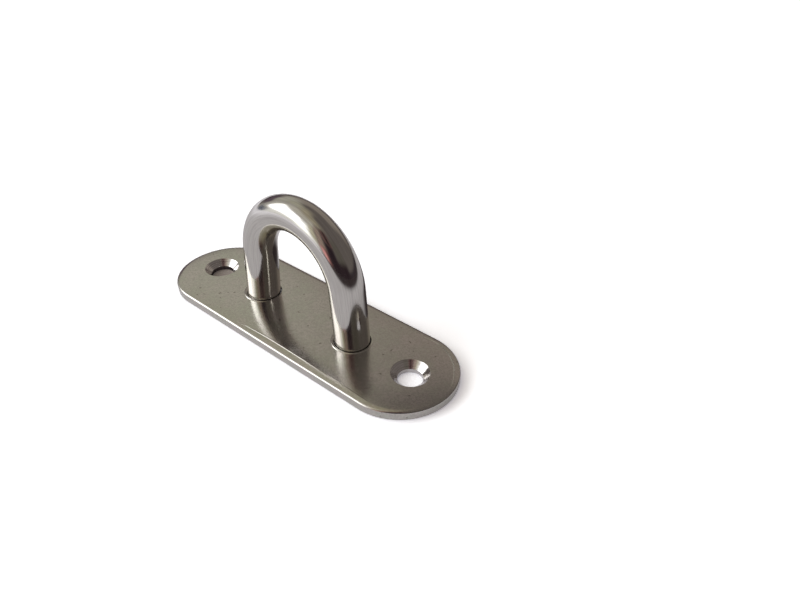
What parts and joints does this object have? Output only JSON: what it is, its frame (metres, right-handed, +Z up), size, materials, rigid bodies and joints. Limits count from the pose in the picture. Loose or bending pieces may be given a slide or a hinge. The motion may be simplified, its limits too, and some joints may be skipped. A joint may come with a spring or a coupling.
{
  "type": "pad eye",
  "caption": "Stainless pad eye: a bent round rod welded into an oblong base plate with round ends and countersunk screw holes, as a fixing point for a shackle, hook or line.",
  "frame": {"origin": "centre of the base plate's underside", "axes": "+X along the plate through both screw holes, +Y across the plate and through the eye, +Z up from the underside to the top of the bow"},
  "size_m": [0.0826, 0.0262, 0.0324],
  "materials": {
    "plate_steel": "satin, tumble-polished stainless sheet with a rolled top edge",
    "rod_steel": "polished stainless rod with faint lengthwise lines",
    "weld_steel": "stainless weld metal, ground flush"
  },
  "bodies": {
    "root": {"base_plate": "plate_steel", "eye_bow": "rod_steel", "weld_left": "weld_steel", "weld_right": "weld_steel"}
  },
  "joints": []
}
